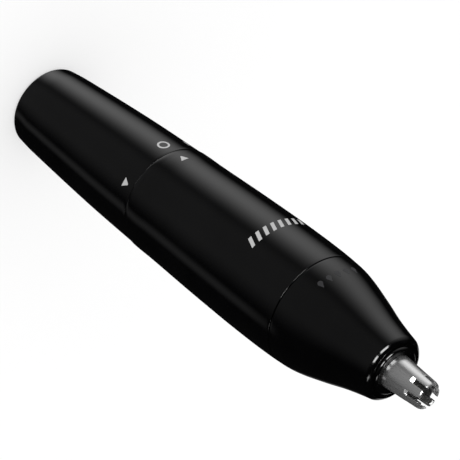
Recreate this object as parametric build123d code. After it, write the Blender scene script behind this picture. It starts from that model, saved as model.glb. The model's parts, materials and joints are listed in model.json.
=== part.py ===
"""Battery nose hair trimmer: twist base, handle, twist-off head and slotted guard tube.

Millimetres. +Z runs from the flat tail to the cutting tip, the origin is the centre of the
tail's flat end, and -Y is the front, where the printed switch marks face.
"""
from build123d import *
import math
import os

# ---- outer form ---------------------------------------------------------------------------
TAIL_R, TAIL_ROUND = 9.72, 1.0   # wall radius just above the rounded edge of the flat tail
TAIL_TOP = (10.2, 5.5)           # (radius, height) points of the outline, as all pairs here
BASE_MID = (11.55, 27.0)
BASE_TOP_R, BASE_TOP = 12.2, 44.0
SEAM_GAP = 0.2                   # running gap between the base, the handle and the head
FLARE_R, FLARE_TOP = 12.45, 50.5
FLARE_STEP = (12.38, 1.6)        # radius of the flare, and its height above the handle's end
HANDLE_MID = (12.93, 66.0)
HANDLE_MAX_R, HANDLE_MAX_Z = 13.17, 81.0
HANDLE_TOP_R, HANDLE_TOP = 12.9, 92.4
HEAD_FOOT_R = 12.86
HEAD_SHOULDER = (12.3, 97.3)
HEAD_CONE = (10.47, 104.1)
HEAD_WAIST = (8.83, 109.4)
HEAD_RIM_R, HEAD_RIM_Z, RIM_ROUND = 7.45, 115.7, 0.3
HEAD_FACE_R, HEAD_FACE_Z = 6.45, 116.6

# ---- clearances ---------------------------------------------------------------------------
RUN = 0.05                       # radial running clearance of every shaft and journal
FIT = 0.1                        # radial clearance of parts that slide together by hand
MERGE = 0.2                      # how far a web or rib runs into the wall that it stands on

# ---- battery and base ---------------------------------------------------------------------
CELL_R, CELL_BOTTOM, CELL_TOP = 7.15, 5.5, 54.5
CELL_NUB_R, CELL_NUB_TOP = 2.75, 56.0
WRAP = 0.1
BASE_FLOOR = 2.0
BASE_BORE_R = 8.25
LINER_T, LINER_INSET = 0.45, 1.5
SOCKET_R, SOCKET_Z = 9.95, 30.4
KEY_W, KEY_DEPTH, KEY_H = 2.0, 0.65, 3.1
KEY_PLAY = 0.15
STRIP_T, STRIP_W = 0.3, 4.0
PLATE_R, PLATE_JOIN_R, FINGER_R = 7.2, 6.0, 9.2
BASE_SPRING_R, BASE_SPRING_WIRE, BASE_SPRING_TURNS = 3.6, 0.35, 2.5

# ---- twist switch -------------------------------------------------------------------------
ROTOR_BOTTOM, ROTOR_TOP = 30.9, 33.7
ROTOR_R, ROTOR_BORE_R = 9.75, 8.05
JOURNAL_R, JOURNAL_TOP = 8.37, 37.4
TAB_W, TAB_OUT_R, TAB_IN_R, TAB_TOP = 2.0, 8.35, 8.15, 38.1
CONTACT_RING_R, CONTACT_RECESS_R = 9.0, 9.1
SPIGOT_R, SPIGOT_BORE_R, SPIGOT_BOTTOM = 9.75, 8.45, 33.9
SEAL_Z, SEAL_WIRE, SEAL_GROOVE_H = 40.1, 0.45, 1.2

# ---- handle and chassis -------------------------------------------------------------------
HANDLE_BOTTOM = BASE_TOP + SEAM_GAP
HANDLE_FLOOR = 45.9
HANDLE_BORE_R, HANDLE_WIDE_BORE_R = 11.0, 11.4
FRAME_SEAT_R, FRAME_SEAT_Z = 11.7, 88.5
SLEEVE_R, SLEEVE_BORE_R, SLEEVE_BOTTOM = 8.2, 7.55, 38.5
BULKHEAD_Z, BULKHEAD_T = 56.4, 1.1
FLANGE_T = 1.2
WEB_W = 2.0
CRADLE_R, CRADLE_TOP, CRADLE_CAP_TOP = 10.6, 83.0, 85.5
CRADLE_WINDOW_W = 17.6
CONTACT_SLOT = (-2, 2, 3.9, 6)         # (x0, x1, y0, y1) of the opening for the positive contact
LEAF_SLOT = (-1.4, 1.4, -8.5, -7.85)   # and of the one for the switch leaf
POSITIVE_W, POSITIVE_REACH = 3.0, 4.7
LEAF_W, LEAF_OUT, LEAF_IN, LEAF_FOOT = 2.4, 8.15, 7.95, 4.4

# ---- motor --------------------------------------------------------------------------------
MOTOR_R, MOTOR_WALL, MOTOR_END_T = 7.75, 0.35, 1.6
BOSS_R, BOSS_H = 3.0, 2.0
CAP_Z, CAN_Z, CAN_TOP = 58.4, 60.0, 80.5
CAP_LIP_R, CAP_LIP_H = 5.6, 1.0
TERMINAL_W, TERMINAL_IN, TERMINAL_OUT, TERMINAL_T = 2.2, 3.6, 6.4, 0.4
MAGNET_BORE_R, MAGNET_GAP_W = 6.2, 3.0
ARMATURE_R, ARMATURE_SLOT_W, ARMATURE_CORE_R = 5.8, 1.6, 2.4
COMMUTATOR_R, COMMUTATOR_H = 2.0, 2.0
SHAFT_R, SHAFT_TOP = 1.0, 93.0
SCREW_RADIUS, SCREW_SHANK_R, SCREW_BOSS_R = 6.2, 0.8, 1.7
SCREW_HEAD_R, SCREW_HEAD_H, SCREW_SLOT_W = 1.5, 1.0, 0.4
FRAME_DECK_Z = 90.5
SEAL_SEAT_R = 2.6

# ---- head lock and drive ------------------------------------------------------------------
NECK_R, NECK_BORE_R, NECK_TOP = 10.2, 8.4, 99.9
LOCK_R, LOCK_BOTTOM, LOCK_TOP = 11.35, 92.7, 95.7
LIP_R, LIP_Z, LIP_T = 10.95, 95.9, 0.6
RIB_IN_R, RIB_W = 11.1, 1.6
HEAD_SKIRT_BORE_R, HEAD_STEP_Z = 11.55, 96.8
HEAD_SEAL_BORE_R, HEAD_SEAL_TOP = 10.6, 100.6
HEAD_SEAL_Z, HEAD_SEAL_WIRE, HEAD_SEAL_GROOVE_H = 98.4, 0.5, 1.3
COUPLER_R, COUPLER_Z, COUPLER_FLOOR, COUPLER_TOP = 3.6, 91.3, 93.5, 99.9
CUP_R, CUP_RIB_IN, CUP_RIB_W = 2.9, 1.9, 1.0
TANG_W, TANG_T, TANG_Z = 5.0, 1.2, 94.1

# ---- nose and cutter ----------------------------------------------------------------------
HOLDER_R, HOLDER_FLANGE_R, HOLDER_EDGE = 6.35, 6.95, 0.3
RETAINER_Z, BUSH_R = 109.8, 2.6
HOLDER_Z, HOLDER_STEP_Z, HOLDER_FACE_Z = 111.2, 112.1, 116.8
GUARD_FLANGE_R, GUARD_FLANGE_T = 4.9, 1.0
GUARD_ROOT_R, GUARD_ROOT_Z = 3.8, 116.8
GUARD_END_R, GUARD_END_Z = 3.25, 125.0
TIP_R, TIP_Z, TIP_WALL = 2.5, 126.4, 0.2
GUARD_WALL = 0.5
SLOT_W, SLOT_BOTTOM, SLOT_SLOPE = 1.05, 122.5, 0.65
SLOT_COUNT, SLOT_FIRST = 7, -59.0
WASHER_R, WASHER_T = 2.75, 0.2
CUTTER_SHAFT_R = 1.4
HUB_R, HUB_Z, HUB_TOP = 3.1, 113.4, 116.6
CUTTER_SPRING_R, CUTTER_SPRING_WIRE, CUTTER_SPRING_TURNS = 2.1, 0.18, 3
BLADE_TOP, BLADE_WALL, BLADE_CLEAR = 124.8, 0.4, 0.08
WINDOW_COUNT, WINDOW_W, WINDOW_FIRST, WINDOW_FOOT = 4, 2.2, 20.0, 3.0

HEAD_FOOT = HANDLE_TOP + SEAM_GAP
GUARD_FOOT = HOLDER_STEP_Z + 0.5
BASE_SEAL_FLOOR_R = SOCKET_R - FIT - 2 * SEAL_WIRE
HEAD_SEAL_FLOOR_R = HEAD_SEAL_BORE_R - 0.15 - 2 * HEAD_SEAL_WIRE
CAN_BORE_R = MOTOR_R - MOTOR_WALL


# ---- helpers ------------------------------------------------------------------------------
def at(radius, height):
    """A point of an outline, as radius and height."""
    return (radius, 0, height)


def spun(*edges):
    """The solid that a closed outline in the XZ plane makes about Z."""
    return revolve(make_face(edges), Axis.Z)


def turned(*points):
    """A solid of revolution with straight sides through (radius, height) points."""
    return spun(Polyline(*[at(r, z) for r, z in points], close=True))


def tube(outer, inner, bottom, top):
    """A plain ring, or a disc where inner is 0."""
    return turned((inner, bottom), (outer, bottom), (outer, top), (inner, top))


def block(x0, x1, y0, y1, z0, z1):
    """A box between two corners."""
    return Pos((x0 + x1) / 2, (y0 + y1) / 2, (z0 + z1) / 2) * Box(x1 - x0, y1 - y0, z1 - z0)


def bar(inner, outer, width, bottom, top):
    """A block along +X from one radius to another, centred on the X axis."""
    return block(inner, outer, -width / 2, width / 2, bottom, top)


def spun_round(shape, angles):
    """Copies of a shape turned about Z."""
    return [Rot(0, 0, angle) * shape for angle in angles]


def spaced(count, first=0.0):
    """Evenly spaced angles round the axis."""
    return [first + index * 360 / count for index in range(count)]


def joined(body, copies):
    """A solid with others fused to it."""
    for copy in copies:
        body += copy
    return body


def cut(body, copies):
    """A solid with others cut from it."""
    for copy in copies:
        body -= copy
    return body


def screw_pair(shape):
    """Two copies of a shape, at the places of the frame screws."""
    return spun_round(Pos(SCREW_RADIUS, 0, 0) * shape, spaced(2))


def coil(radius, wire, bottom, top, turns):
    """A compression spring about Z, between two heights."""
    height = top - bottom - 2 * wire
    path = Pos(0, 0, bottom + wire) * Helix(pitch=height / turns, height=height, radius=radius)
    section = Plane(origin=path @ 0, z_dir=path % 0) * Circle(wire)
    return sweep(section, path=path, is_frenet=True)


def o_ring(inner, wire, height):
    """A rubber ring of round section, seated on a groove floor of radius inner."""
    return Pos(0, 0, height) * Torus(inner + wire, wire)


def groove(outer, floor, height, width):
    """The ring of material that a seal groove takes away."""
    return tube(outer, floor, height - width / 2, height + width / 2)


# ---- base: the twist cap at the tail ------------------------------------------------------
def base_cover():
    """Closed tapered shell with a wide socket at its mouth and two drive keys in it."""
    flat_r = TAIL_R - TAIL_ROUND
    slant = TAIL_ROUND * math.sin(math.radians(45))
    corner = ThreePointArc(at(flat_r, 0), at(flat_r + slant, TAIL_ROUND - slant), at(TAIL_R, TAIL_ROUND))
    wall = Spline(
        at(TAIL_R, TAIL_ROUND), at(*TAIL_TOP), at(*BASE_MID), at(BASE_TOP_R, BASE_TOP),
        tangents=[(0.12, 0, 1), (0.035, 0, 1)],
    )
    inside = Polyline(
        at(BASE_TOP_R, BASE_TOP), at(SOCKET_R, BASE_TOP), at(SOCKET_R, SOCKET_Z), at(BASE_BORE_R, SOCKET_Z),
        at(BASE_BORE_R, BASE_FLOOR), at(0, BASE_FLOOR), at(0, 0), at(flat_r, 0),
    )
    key = bar(SOCKET_R - KEY_DEPTH, SOCKET_R + 2 * MERGE, KEY_W, SOCKET_Z, SOCKET_Z + KEY_H)
    shell = joined(spun(corner, wall, inside), spun_round(key, spaced(2)))
    strip_way = bar(0, BASE_BORE_R + STRIP_T + FIT, STRIP_W + 4 * FIT, BASE_FLOOR, SOCKET_Z)
    return shell - Rot(0, 0, 90) * strip_way


def battery_liner():
    """Thin sleeve that keeps the cell off the contact strip."""
    outer = BASE_BORE_R - RUN
    return tube(outer, outer - LINER_T, CELL_BOTTOM + 0.5, SOCKET_Z - LINER_INSET)


def negative_contact():
    """Stamped plate on the base's floor, with a strip up the wall to the switch."""
    floor_top = BASE_FLOOR + STRIP_T
    strip_r = BASE_BORE_R + STRIP_T
    plate = tube(PLATE_R, 0, BASE_FLOOR, floor_top)
    foot = bar(PLATE_JOIN_R, strip_r, STRIP_W, BASE_FLOOR, floor_top)
    arm = bar(BASE_BORE_R, strip_r, STRIP_W, BASE_FLOOR, SOCKET_Z + STRIP_T)
    finger = bar(BASE_BORE_R, FINGER_R, STRIP_W, SOCKET_Z, SOCKET_Z + STRIP_T)
    return Rot(0, 0, 90) * (plate + foot + arm + finger)


def negative_spring():
    """Coil that presses the cell forward, drawn at its loaded length."""
    bottom = BASE_FLOOR + STRIP_T
    return coil(BASE_SPRING_R, BASE_SPRING_WIRE, bottom, CELL_BOTTOM, BASE_SPRING_TURNS)


# ---- switch rotor: turns with the base, stays on the handle -------------------------------
def switch_rotor():
    """Ring keyed to the base, with a journal that runs in the handle's spigot."""
    ring = turned(
        (ROTOR_BORE_R, ROTOR_BOTTOM), (ROTOR_R, ROTOR_BOTTOM), (ROTOR_R, ROTOR_TOP),
        (JOURNAL_R, ROTOR_TOP), (JOURNAL_R, JOURNAL_TOP), (ROTOR_BORE_R, JOURNAL_TOP),
    )
    floor_r = SOCKET_R - KEY_DEPTH - KEY_PLAY
    keyway = bar(floor_r, ROTOR_R + 1, KEY_W + 2 * KEY_PLAY, ROTOR_BOTTOM, ROTOR_TOP)
    ring = cut(ring, spun_round(keyway, spaced(2)))
    ring -= tube(CONTACT_RECESS_R, ROTOR_BORE_R, ROTOR_BOTTOM, ROTOR_BOTTOM + STRIP_T)
    tab_way = bar(ROTOR_BORE_R - RUN, TAB_OUT_R + 0.25, TAB_W + 2 * FIT, ROTOR_BOTTOM, JOURNAL_TOP)
    return ring - Rot(0, 0, -90) * tab_way


def switch_contact():
    """Stamped ring under the rotor, with a tab that meets the switch leaf."""
    ring = tube(CONTACT_RING_R, ROTOR_BORE_R + FIT, ROTOR_BOTTOM, ROTOR_BOTTOM + STRIP_T)
    return ring + Rot(0, 0, -90) * bar(TAB_IN_R, TAB_OUT_R, TAB_W, ROTOR_BOTTOM, TAB_TOP)


# ---- handle -------------------------------------------------------------------------------
def main_housing():
    """Handle shell: a tapered tube with a spigot below that plugs into the base."""
    step_r, step_rise = FLARE_STEP
    flare = Spline(
        at(BASE_TOP_R, HANDLE_BOTTOM), at(step_r, HANDLE_BOTTOM + step_rise), at(FLARE_R, FLARE_TOP),
        tangents=[(0.35, 0, 1), (0.03, 0, 1)],
    )
    wall = Spline(
        at(FLARE_R, FLARE_TOP), at(*HANDLE_MID), at(HANDLE_MAX_R, HANDLE_MAX_Z), at(HANDLE_TOP_R, HANDLE_TOP),
        tangents=[(0.03, 0, 1), (-0.06, 0, 1)],
    )
    inside = Polyline(
        at(HANDLE_TOP_R, HANDLE_TOP), at(FRAME_SEAT_R, HANDLE_TOP), at(FRAME_SEAT_R, FRAME_SEAT_Z),
        at(HANDLE_WIDE_BORE_R, FRAME_SEAT_Z), at(HANDLE_WIDE_BORE_R, BULKHEAD_Z + 1),
        at(HANDLE_BORE_R, BULKHEAD_Z - 3), at(HANDLE_BORE_R, HANDLE_FLOOR),
        at(SPIGOT_BORE_R, HANDLE_FLOOR), at(SPIGOT_BORE_R, SPIGOT_BOTTOM),
        at(SPIGOT_R, SPIGOT_BOTTOM), at(SPIGOT_R, HANDLE_BOTTOM), at(BASE_TOP_R, HANDLE_BOTTOM),
    )
    return spun(flare, wall, inside) - groove(SPIGOT_R + 1, BASE_SEAL_FLOOR_R, SEAL_Z, SEAL_GROOVE_H)


def base_seal():
    """Rubber ring on the spigot, against the base's socket."""
    return o_ring(BASE_SEAL_FLOOR_R, SEAL_WIRE, SEAL_Z)


def battery_cell():
    """One AA cell with its positive nub."""
    return tube(CELL_R, 0, CELL_BOTTOM, CELL_TOP) + tube(CELL_NUB_R, 0, CELL_TOP, CELL_NUB_TOP)


def battery_wrap():
    """Plastic label sleeve round the cell."""
    return tube(CELL_R + WRAP, CELL_R, CELL_BOTTOM + 2 * WRAP, CELL_TOP - 2 * WRAP)


def motor_cradle():
    """The bulkhead, two rails beside the motor, the cap over it and the screw bosses."""
    bulkhead_top = BULKHEAD_Z + BULKHEAD_T
    rails = tube(CRADLE_R, MOTOR_R + 2 * FIT, BULKHEAD_Z, CRADLE_TOP)
    window = bar(0, CRADLE_R + 1, CRADLE_WINDOW_W, bulkhead_top, CRADLE_TOP)
    rails = cut(rails, spun_round(window, spaced(2, 90)))
    cradle = tube(CRADLE_R, 0, BULKHEAD_Z, bulkhead_top) + rails
    cradle += tube(CRADLE_R, BOSS_R + 2 * FIT, CRADLE_TOP, CRADLE_CAP_TOP)
    cradle = joined(cradle, screw_pair(tube(SCREW_BOSS_R, 0, CRADLE_CAP_TOP, FRAME_SEAT_Z)))
    return cut(cradle, screw_pair(tube(SCREW_SHANK_R, 0, CRADLE_TOP, FRAME_SEAT_Z)))


def chassis():
    """Inner frame: battery sleeve with its flange and webs, and the motor's cradle."""
    sleeve = tube(SLEEVE_R, SLEEVE_BORE_R, SLEEVE_BOTTOM, BULKHEAD_Z)
    flange = tube(HANDLE_BORE_R - FIT, SLEEVE_BORE_R, HANDLE_FLOOR, HANDLE_FLOOR + FLANGE_T)
    web = bar(SLEEVE_R - MERGE, CRADLE_R, WEB_W, HANDLE_FLOOR, BULKHEAD_Z)
    body = joined(sleeve + flange, spun_round(web, spaced(2))) + motor_cradle()
    bulkhead_top = BULKHEAD_Z + BULKHEAD_T
    body -= block(*CONTACT_SLOT, BULKHEAD_Z - 0.1, bulkhead_top)
    return body - block(*LEAF_SLOT, SLEEVE_BOTTOM, bulkhead_top)


def positive_contact():
    """Strip from the cell's nub, through the bulkhead, to a motor terminal."""
    half = POSITIVE_W / 2
    plate = block(-half, half, -3, POSITIVE_REACH, CELL_NUB_TOP, CELL_NUB_TOP + STRIP_T)
    leg = block(-half, half, POSITIVE_REACH - STRIP_T, POSITIVE_REACH, CELL_NUB_TOP, CAP_Z - TERMINAL_T)
    return plate + leg


def switch_leaf():
    """Strip from the twist switch, along the sleeve, to the other motor terminal."""
    half = LEAF_W / 2
    top = CAP_Z - TERMINAL_T
    strip = block(-half, half, -LEAF_OUT, -LEAF_IN, TAB_TOP + 0.15, top)
    foot = block(-half, half, -LEAF_OUT, -LEAF_FOOT, top - 0.25, top)
    return strip + foot


def motor_can():
    """Deep-drawn steel can with a bearing boss at the front."""
    bearing_r = SHAFT_R + RUN
    boss_top, ceiling = CAN_TOP + BOSS_H, CAN_TOP - MOTOR_END_T
    return turned(
        (MOTOR_R, CAN_Z), (MOTOR_R, CAN_TOP), (BOSS_R, CAN_TOP), (BOSS_R, boss_top),
        (bearing_r, boss_top), (bearing_r, ceiling), (CAN_BORE_R, ceiling), (CAN_BORE_R, CAN_Z),
    )


def motor_end_cap():
    """Plastic plug at the back of the motor, with the rear bearing."""
    plug = tube(MOTOR_R, SHAFT_R + RUN, CAP_Z, CAN_Z)
    return plug + tube(CAN_BORE_R - 0.02, CAP_LIP_R, CAN_Z, CAN_Z + CAP_LIP_H)


def motor_terminals():
    """Two solder tags on the back of the motor."""
    half = TERMINAL_W / 2
    return spun_round(block(-half, half, TERMINAL_IN, TERMINAL_OUT, CAP_Z - TERMINAL_T, CAP_Z), spaced(2))


def motor_magnets():
    """Two arc magnets against the inside of the can."""
    ring = tube(CAN_BORE_R - 0.02, MAGNET_BORE_R, CAN_Z + 1.5, CAN_TOP - 2)
    gap = block(-MAGNET_GAP_W / 2, MAGNET_GAP_W / 2, -MOTOR_R, MOTOR_R, CAN_Z, CAN_TOP)
    return list((ring - gap).solids())


def motor_cushion():
    """Rubber ring between the motor's front and the frame."""
    return tube(MOTOR_R - 0.25, BOSS_R + RUN, CAN_TOP, CRADLE_TOP)


def front_frame():
    """Closes the handle's top and carries the neck that the head turns on."""
    shank_r, lip_top = NECK_R - FIT, LIP_Z + LIP_T
    frame = turned(
        (SEAL_SEAT_R, FRAME_SEAT_Z), (FRAME_SEAT_R - RUN, FRAME_SEAT_Z), (FRAME_SEAT_R - RUN, HANDLE_TOP),
        (shank_r, HANDLE_TOP), (shank_r, LIP_Z), (LIP_R, LIP_Z), (LIP_R, lip_top),
        (NECK_R, lip_top), (NECK_R, NECK_TOP), (NECK_BORE_R, NECK_TOP), (NECK_BORE_R, FRAME_DECK_Z),
        (SEAL_SEAT_R, FRAME_DECK_Z),
    )
    frame -= groove(NECK_R + 1, HEAD_SEAL_FLOOR_R, HEAD_SEAL_Z, HEAD_SEAL_GROOVE_H)
    return cut(frame, screw_pair(tube(SCREW_SHANK_R, 0, FRAME_SEAT_Z, FRAME_DECK_Z)))


def frame_screws():
    """Two screws that hold the front frame to the chassis."""
    top = FRAME_DECK_Z + SCREW_HEAD_H
    shank = tube(SCREW_SHANK_R, 0, CRADLE_TOP + 1, FRAME_DECK_Z)
    head = tube(SCREW_HEAD_R, 0, FRAME_DECK_Z, top)
    head -= bar(-2, 2, SCREW_SLOT_W, top - SCREW_HEAD_H / 2, top)
    return screw_pair(shank + head)


def shaft_seal():
    """Lip seal round the motor shaft."""
    return tube(SEAL_SEAT_R, SHAFT_R + RUN, FRAME_SEAT_Z, FRAME_DECK_Z)


def head_seal():
    """Rubber ring on the neck, against the head's bore."""
    return o_ring(HEAD_SEAL_FLOOR_R, HEAD_SEAL_WIRE, HEAD_SEAL_Z)


# ---- motor rotor --------------------------------------------------------------------------
def motor_shaft():
    """Steel shaft from the rear bearing to the coupler."""
    return tube(SHAFT_R, 0, CAP_Z + 0.1, SHAFT_TOP)


def motor_armature():
    """Slotted three-pole armature with its commutator."""
    core_bottom = CAN_Z + 0.6 + COMMUTATOR_H
    core = tube(ARMATURE_R, SHAFT_R, core_bottom, CAN_TOP - 3.2)
    slot = bar(ARMATURE_CORE_R, ARMATURE_R + 1, ARMATURE_SLOT_W, CAN_Z, CAN_TOP)
    core = cut(core, spun_round(slot, spaced(3, 30)))
    return core + tube(COMMUTATOR_R, SHAFT_R, core_bottom - COMMUTATOR_H, core_bottom)


def drive_coupler():
    """Cup on the shaft; two ribs inside it push the cutter's tang round."""
    cup = turned(
        (SHAFT_R, COUPLER_Z), (COUPLER_R, COUPLER_Z), (COUPLER_R, COUPLER_TOP), (CUP_R, COUPLER_TOP),
        (CUP_R, COUPLER_FLOOR), (0, COUPLER_FLOOR), (0, SHAFT_TOP), (SHAFT_R, SHAFT_TOP),
    )
    rib = bar(CUP_RIB_IN, CUP_R + MERGE, CUP_RIB_W, COUPLER_FLOOR, COUPLER_TOP - 0.8)
    return joined(cup, spun_round(rib, spaced(2, 90)))


# ---- head ---------------------------------------------------------------------------------
def head_lock_ring():
    """Ring that turns on the neck; the head's ribs slide into its three pockets."""
    pocket = bar(RIB_IN_R - FIT, LOCK_R + 1, RIB_W + 4 * FIT, LOCK_BOTTOM, LOCK_TOP)
    return cut(tube(LOCK_R, NECK_R, LOCK_BOTTOM, LOCK_TOP), spun_round(pocket, spaced(3)))


def head_shell():
    """Tapered head: convex shoulder, slightly hollow waist and a crisp rim round the nose."""
    wall = Spline(
        at(HEAD_FOOT_R, HEAD_FOOT), at(*HEAD_SHOULDER), at(*HEAD_CONE), at(*HEAD_WAIST),
        at(HEAD_RIM_R, HEAD_RIM_Z),
        tangents=[(-0.05, 0, 1), (-0.2, 0, 1)],
    )
    slant = RIM_ROUND * math.sin(math.radians(45))
    rim_end = at(HEAD_RIM_R - RIM_ROUND, HEAD_RIM_Z + RIM_ROUND)
    rim = ThreePointArc(
        at(HEAD_RIM_R, HEAD_RIM_Z), at(HEAD_RIM_R - RIM_ROUND + slant, HEAD_RIM_Z + slant), rim_end
    )
    step, flange_r = HOLDER_STEP_Z + FIT, HOLDER_FLANGE_R + FIT
    inside = Polyline(
        rim_end, at(HEAD_FACE_R, HEAD_FACE_Z), at(HEAD_FACE_R, step), at(flange_r, step),
        at(flange_r, RETAINER_Z - FIT), at(HEAD_SEAL_BORE_R, HEAD_SEAL_TOP),
        at(HEAD_SEAL_BORE_R, HEAD_STEP_Z), at(HEAD_SKIRT_BORE_R, HEAD_STEP_Z),
        at(HEAD_SKIRT_BORE_R, HEAD_FOOT), at(HEAD_FOOT_R, HEAD_FOOT),
    )
    rib = bar(RIB_IN_R, HEAD_SKIRT_BORE_R + MERGE, RIB_W, HEAD_FOOT + 0.2, LOCK_TOP - 0.2)
    return joined(spun(wall, rim, inside), spun_round(rib, spaced(3)))


def guard_holder():
    """Nose disc that fills the head's front and holds the guard tube."""
    edge_z, face_r, bore_r = HOLDER_FACE_Z - HOLDER_EDGE, HOLDER_R - HOLDER_EDGE, GUARD_ROOT_R + FIT
    recess_r = GUARD_FLANGE_R + FIT
    return turned(
        (HOLDER_R, edge_z), (face_r, HOLDER_FACE_Z), (bore_r, HOLDER_FACE_Z), (bore_r, GUARD_FOOT),
        (recess_r, GUARD_FOOT), (recess_r, HOLDER_Z), (HOLDER_FLANGE_R, HOLDER_Z),
        (HOLDER_FLANGE_R, HOLDER_STEP_Z), (HOLDER_R, HOLDER_STEP_Z),
    )


def guard_slot():
    """What one slot takes from the guard: parallel sides, and a bottom that rises inwards."""
    high = TIP_Z + 1
    outline = Polyline(
        (0, SLOT_BOTTOM + SLOT_SLOPE), (GUARD_END_R - GUARD_WALL, SLOT_BOTTOM + SLOT_SLOPE),
        (GUARD_ROOT_R, SLOT_BOTTOM), (GUARD_ROOT_R + 1, SLOT_BOTTOM), (GUARD_ROOT_R + 1, high),
        (0, high), close=True,
    )
    return Pos(0, SLOT_W / 2, 0) * extrude(Plane.XZ * make_face(outline), amount=SLOT_W)


def guard_tube():
    """Tapered steel tube, rounded in at its open tip and cut into teeth by slots."""
    flange_z = GUARD_FOOT - GUARD_FLANGE_T
    outer = Polyline(
        at(GUARD_FLANGE_R, flange_z), at(GUARD_FLANGE_R, GUARD_FOOT), at(GUARD_ROOT_R + RUN, GUARD_FOOT),
        at(GUARD_ROOT_R, GUARD_ROOT_Z), at(GUARD_END_R, GUARD_END_Z),
    )
    crown = Spline(at(GUARD_END_R, GUARD_END_Z), at(TIP_R, TIP_Z), tangents=[(-0.07, 0, 1), (-1, 0, 0.35)])
    bore_r = GUARD_ROOT_R - GUARD_WALL
    inner = Polyline(
        at(TIP_R, TIP_Z), at(TIP_R - TIP_WALL, TIP_Z - 0.45), at(GUARD_END_R - GUARD_WALL, GUARD_END_Z - 0.1),
        at(bore_r, GUARD_ROOT_Z), at(bore_r + RUN, flange_z), at(GUARD_FLANGE_R, flange_z),
    )
    return cut(spun(outer, crown, inner), spun_round(guard_slot(), spaced(SLOT_COUNT, SLOT_FIRST)))


def blade_retainer():
    """Plate behind the nose that holds the holder and the cutter's bush."""
    return tube(HOLDER_FLANGE_R, BUSH_R, RETAINER_Z, HOLDER_Z)


def cutter_bush():
    """Plain bearing of the cutter shaft."""
    return tube(BUSH_R, CUTTER_SHAFT_R + RUN, RETAINER_Z, HOLDER_Z)


def thrust_washer():
    """Washer that the cutter spring turns on."""
    return tube(WASHER_R, CUTTER_SHAFT_R + RUN, HOLDER_Z, HOLDER_Z + WASHER_T)


# ---- cutter -------------------------------------------------------------------------------
def cutter_shaft():
    """Moulded shaft: flat tang below, hub above that the blade is pressed on."""
    rod = tube(CUTTER_SHAFT_R, 0, TANG_Z, HUB_Z)
    tang = bar(-TANG_W / 2, TANG_W / 2, TANG_T, TANG_Z, COUPLER_TOP - 0.4)
    hub = tube(HUB_R - BLADE_WALL, 0, HUB_Z, HUB_TOP)
    return rod + tang + hub


def cutter_spring():
    """Coil that presses the blade into the guard, drawn at its loaded length."""
    bottom = HOLDER_Z + WASHER_T + RUN
    return coil(CUTTER_SPRING_R, CUTTER_SPRING_WIRE, bottom, HUB_Z, CUTTER_SPRING_TURNS)


def inner_cutter():
    """Tapered blade ring with open windows; it spins just inside the guard."""
    taper = (GUARD_ROOT_R - GUARD_END_R) / (GUARD_END_Z - GUARD_ROOT_Z)
    root_r = GUARD_ROOT_R - GUARD_WALL - BLADE_CLEAR
    top_r = root_r - taper * (BLADE_TOP - GUARD_ROOT_Z)
    bore_r = HUB_R - BLADE_WALL
    ring = turned(
        (bore_r, HUB_Z), (HUB_R, HUB_Z), (root_r, GUARD_ROOT_Z), (top_r, BLADE_TOP),
        (top_r - BLADE_WALL, BLADE_TOP), (bore_r, GUARD_ROOT_Z + 1),
    )
    window = bar(0.5, GUARD_ROOT_R, WINDOW_W, GUARD_ROOT_Z + WINDOW_FOOT, BLADE_TOP + 1)
    return cut(ring, spun_round(window, spaced(WINDOW_COUNT, WINDOW_FIRST)))


PIECES = (
    base_cover, battery_liner, negative_contact, negative_spring,
    switch_rotor, switch_contact,
    main_housing, base_seal, battery_cell, battery_wrap, chassis, positive_contact, switch_leaf,
    motor_can, motor_end_cap, motor_terminals, motor_magnets, motor_cushion, front_frame, frame_screws,
    shaft_seal, head_seal,
    motor_shaft, motor_armature, drive_coupler,
    head_lock_ring,
    head_shell, guard_holder, guard_tube, blade_retainer, cutter_bush, thrust_washer,
    cutter_shaft, cutter_spring, inner_cutter,
)


def main():
    os.makedirs("parts", exist_ok=True)
    for piece in PIECES:
        made = piece()
        if isinstance(made, list):
            made = Compound(children=[solid for part in made for solid in part.solids()])
        export_step(made, f"parts/{piece.__name__}.step")


main()
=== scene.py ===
"""Looks of a battery nose hair trimmer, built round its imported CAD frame."""
import json
import math
from collections import namedtuple

import bmesh
import bpy
from mathutils import Matrix, Vector


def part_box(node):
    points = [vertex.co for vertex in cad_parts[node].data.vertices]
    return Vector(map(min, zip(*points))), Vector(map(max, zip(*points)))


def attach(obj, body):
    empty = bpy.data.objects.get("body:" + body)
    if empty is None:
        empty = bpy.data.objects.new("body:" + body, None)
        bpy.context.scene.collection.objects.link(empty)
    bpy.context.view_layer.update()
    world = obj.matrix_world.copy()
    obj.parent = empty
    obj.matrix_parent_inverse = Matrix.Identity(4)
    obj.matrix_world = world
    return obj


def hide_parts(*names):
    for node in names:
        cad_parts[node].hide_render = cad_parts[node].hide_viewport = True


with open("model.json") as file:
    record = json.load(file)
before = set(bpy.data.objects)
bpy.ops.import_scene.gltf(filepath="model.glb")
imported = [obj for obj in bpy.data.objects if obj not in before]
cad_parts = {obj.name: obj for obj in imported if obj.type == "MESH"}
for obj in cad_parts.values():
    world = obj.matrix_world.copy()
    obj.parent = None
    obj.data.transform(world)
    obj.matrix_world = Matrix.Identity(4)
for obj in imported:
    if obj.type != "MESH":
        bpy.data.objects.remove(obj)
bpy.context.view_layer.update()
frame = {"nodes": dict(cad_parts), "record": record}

MM = 0.001

# ---- heights and radii in millimetres: read from the frame where a node's box gives them ----


def low(node):
    """Lowest height of a CAD node, in millimetres."""
    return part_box(node)[0][2] / MM


def high(node):
    """Highest height of a CAD node, in millimetres."""
    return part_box(node)[1][2] / MM


def radius(node):
    """Largest radius of a CAD node, in millimetres."""
    return (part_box(node)[1][0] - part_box(node)[0][0]) / 2 / MM


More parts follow.
